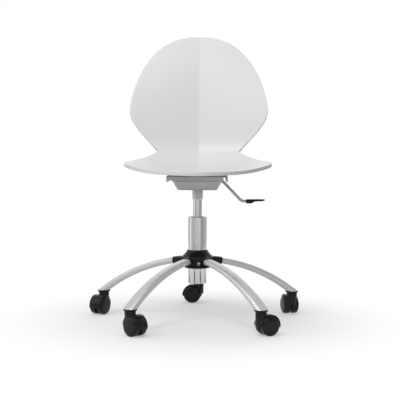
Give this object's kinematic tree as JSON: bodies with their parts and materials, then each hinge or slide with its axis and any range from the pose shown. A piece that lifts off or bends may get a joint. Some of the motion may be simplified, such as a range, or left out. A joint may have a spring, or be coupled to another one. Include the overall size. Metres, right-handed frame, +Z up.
{
  "type": "office chair",
  "caption": "Swivel office chair: white one-piece shell on a gas-lift column with height lever, and a five-star base on twin-wheel casters.",
  "frame": {"origin": "on the floor, under the middle of the chair's outline seen from above", "axes": "+Z up; the sitter faces -Y; +X is on the side of the height lever"},
  "size_m": [0.5916, 0.5778, 0.7894],
  "materials": {
    "white_shell": "satin white, moulded",
    "zinc_steel": "zinc plated, dull",
    "pressed_steel": "pressed, dull plate",
    "chromed_tube": "polished tube",
    "silver_paint": "silver powder coat",
    "gloss_black": "gloss black moulding",
    "matt_black": "matt black moulding",
    "grey_plastic": "plain grey bearing plastic",
    "bright_steel": "bright drawn steel",
    "rubber": "black rubber"
  },
  "bodies": {
    "base": {"stand_tube": "chromed_tube", "guide_bush": "grey_plastic", "thrust_bearing": "bright_steel", "hub_cover": "gloss_black", "hub_ring": "gloss_black", "leg_back": "silver_paint", "leg_plug_back": "gloss_black", "leg_left": "silver_paint", "leg_plug_left": "gloss_black", "leg_front_left": "silver_paint", "leg_plug_front_left": "gloss_black", "leg_front_right": "silver_paint", "leg_plug_front_right": "gloss_black", "leg_right": "silver_paint", "leg_plug_right": "gloss_black"},
    "spring_rod": {"piston_rod": "bright_steel", "retaining_clip": "bright_steel", "rubber_buffer": "rubber"},
    "seat": {"seat_shell": "white_shell", "seat_plate": "zinc_steel", "seat_screw_front_left": "bright_steel", "seat_screw_front_right": "bright_steel", "seat_screw_back_left": "bright_steel", "seat_screw_back_right": "bright_steel", "mechanism_pan": "pressed_steel", "taper_socket": "zinc_steel", "lever_bracket": "zinc_steel", "lever_pin": "bright_steel", "pressure_tube": "chromed_tube"},
    "lever": {"lever_rod": "bright_steel", "lever_paddle": "matt_black"},
    "valve": {"valve_button": "bright_steel"},
    "swivel_back": {"caster_back_body": "gloss_black", "caster_back_stem": "bright_steel", "caster_back_axle": "bright_steel"},
    "wheel_back_a": {"caster_back_wheel_a": "gloss_black"},
    "wheel_back_b": {"caster_back_wheel_b": "gloss_black"},
    "swivel_left": {"caster_left_body": "gloss_black", "caster_left_stem": "bright_steel", "caster_left_axle": "bright_steel"},
    "wheel_left_a": {"caster_left_wheel_a": "gloss_black"},
    "wheel_left_b": {"caster_left_wheel_b": "gloss_black"},
    "swivel_front_left": {"caster_front_left_body": "gloss_black", "caster_front_left_stem": "bright_steel", "caster_front_left_axle": "bright_steel"},
    "wheel_front_left_a": {"caster_front_left_wheel_a": "gloss_black"},
    "wheel_front_left_b": {"caster_front_left_wheel_b": "gloss_black"},
    "swivel_front_right": {"caster_front_right_body": "gloss_black", "caster_front_right_stem": "bright_steel", "caster_front_right_axle": "bright_steel"},
    "wheel_front_right_a": {"caster_front_right_wheel_a": "gloss_black"},
    "wheel_front_right_b": {"caster_front_right_wheel_b": "gloss_black"},
    "swivel_right": {"caster_right_body": "gloss_black", "caster_right_stem": "bright_steel", "caster_right_axle": "bright_steel"},
    "wheel_right_a": {"caster_right_wheel_a": "gloss_black"},
    "wheel_right_b": {"caster_right_wheel_b": "gloss_black"}
  },
  "joints": [
    {"name": "seat_swivel", "type": "hinge", "parent": "base", "child": "spring_rod", "pos_m": [0.00817, -0.01676, 0.2], "axis": [0, 0, 1], "continuous": true},
    {"name": "seat_lift", "type": "slide", "parent": "spring_rod", "child": "seat", "axis": [0, 0, 1], "range_m": [-0.045, 0.07]},
    {"name": "lever_lift", "type": "hinge", "parent": "seat", "child": "lever", "pos_m": [0.06717, -0.01676, 0.3845], "axis": [0, -1, 0], "range_deg": [0, 7], "stiffness_Nm_per_rad": 2, "springref_deg": -5.73},
    {"name": "valve_press", "type": "slide", "parent": "seat", "child": "valve", "axis": [0, 0, -1], "range_m": [0, 0.0077]},
    {"name": "caster_turn_back", "type": "hinge", "parent": "base", "child": "swivel_back", "pos_m": [0.00817, 0.26324, 0.06], "axis": [0, 0, 1], "continuous": true},
    {"name": "wheel_roll_back_a", "type": "hinge", "parent": "swivel_back", "child": "wheel_back_a", "pos_m": [-0.01074, 0.26506, 0.02568], "axis": [-0.0958, -0.9954, 0], "continuous": true},
    {"name": "wheel_roll_back_b", "type": "hinge", "parent": "swivel_back", "child": "wheel_back_b", "pos_m": [-0.01074, 0.26506, 0.02568], "axis": [-0.0958, -0.9954, 0], "continuous": true},
    {"name": "caster_turn_left", "type": "hinge", "parent": "base", "child": "swivel_left", "pos_m": [-0.25812, 0.06977, 0.06], "axis": [0, 0, 1], "continuous": true},
    {"name": "wheel_roll_left_a", "type": "hinge", "parent": "swivel_left", "child": "wheel_left_a", "pos_m": [-0.26704, 0.05299, 0.02568], "axis": [0.8829, -0.4695, 0], "continuous": true},
    {"name": "wheel_roll_left_b", "type": "hinge", "parent": "swivel_left", "child": "wheel_left_b", "pos_m": [-0.26704, 0.05299, 0.02568], "axis": [0.8829, -0.4695, 0], "continuous": true},
    {"name": "caster_turn_front_left", "type": "hinge", "parent": "base", "child": "swivel_front_left", "pos_m": [-0.1564, -0.24328, 0.06], "axis": [0, 0, 1], "continuous": true},
    {"name": "wheel_roll_front_left_a", "type": "hinge", "parent": "swivel_front_left", "child": "wheel_front_left_a", "pos_m": [-0.14285, -0.2566, 0.02568], "axis": [0.7009, 0.7133, 0], "continuous": true},
    {"name": "wheel_roll_front_left_b", "type": "hinge", "parent": "swivel_front_left", "child": "wheel_front_left_b", "pos_m": [-0.14285, -0.2566, 0.02568], "axis": [0.7009, 0.7133, 0], "continuous": true},
    {"name": "caster_turn_front_right", "type": "hinge", "parent": "base", "child": "swivel_front_right", "pos_m": [0.17275, -0.24328, 0.06], "axis": [0, 0, 1], "continuous": true},
    {"name": "wheel_roll_front_right_a", "type": "hinge", "parent": "swivel_front_right", "child": "wheel_front_right_a", "pos_m": [0.18913, -0.23364, 0.02568], "axis": [-0.5075, 0.8616, 0], "continuous": true},
    {"name": "wheel_roll_front_right_b", "type": "hinge", "parent": "swivel_front_right", "child": "wheel_front_right_b", "pos_m": [0.18913, -0.23364, 0.02568], "axis": [-0.5075, 0.8616, 0], "continuous": true},
    {"name": "caster_turn_right", "type": "hinge", "parent": "base", "child": "swivel_right", "pos_m": [0.27447, 0.06977, 0.06], "axis": [0, 0, 1], "continuous": true},
    {"name": "wheel_roll_right_a", "type": "hinge", "parent": "swivel_right", "child": "wheel_right_a", "pos_m": [0.26955, 0.08812, 0.02568], "axis": [-0.9659, -0.2588, 0], "continuous": true},
    {"name": "wheel_roll_right_b", "type": "hinge", "parent": "swivel_right", "child": "wheel_right_b", "pos_m": [0.26955, 0.08812, 0.02568], "axis": [-0.9659, -0.2588, 0], "continuous": true}
  ],
  "couplings": [
    {"joint": "valve_press", "follows": "lever_lift", "m_per_rad": 0.0625}
  ]
}
